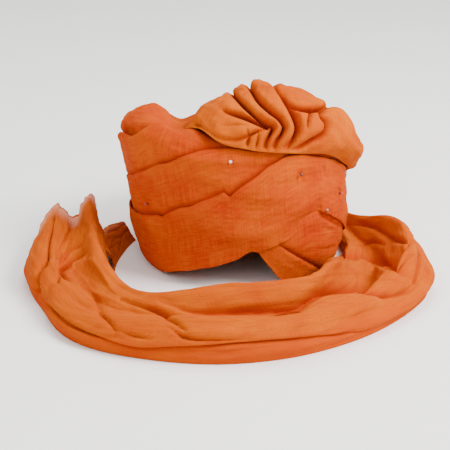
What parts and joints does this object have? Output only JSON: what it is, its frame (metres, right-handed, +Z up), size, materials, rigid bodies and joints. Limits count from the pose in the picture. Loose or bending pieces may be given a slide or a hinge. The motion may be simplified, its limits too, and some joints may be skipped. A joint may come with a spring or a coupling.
{
  "type": "tied turban",
  "caption": "Ready-wound cotton turban with overlapping turns, a pleated crest on one shoulder and a long free end, open below for the head.",
  "frame": {"origin": "middle of the head opening at the foot, on the surface the turban rests on", "axes": "+Z up through the crown, -Y towards the forehead, +X towards the side with the crest"},
  "size_m": [0.397, 0.4151, 0.197],
  "materials": {
    "cotton_turns": "matte",
    "cotton_core": "matte",
    "cotton_crest": "matte",
    "cotton_tail": "matte",
    "pin_enamel": "gloss"
  },
  "bodies": {
    "root": {"wound_core": "cotton_core", "crown_wrap": "cotton_turns", "upper_wrap": "cotton_turns", "middle_wrap": "cotton_turns", "front_wrap": "cotton_turns", "right_lobe_wrap": "cotton_turns", "right_low_wrap": "cotton_turns", "crest_flap": "cotton_crest", "crest_pleat_1": "cotton_crest", "crest_pleat_2": "cotton_crest", "crest_pleat_3": "cotton_crest", "crest_fold": "cotton_crest", "crest_roll": "cotton_crest", "tail": "cotton_tail", "tail_corner": "cotton_tail", "pin_1": "pin_enamel", "pin_2": "pin_enamel", "pin_3": "pin_enamel", "pin_4": "pin_enamel", "pin_5": "pin_enamel", "pin_6": "pin_enamel"}
  },
  "joints": []
}
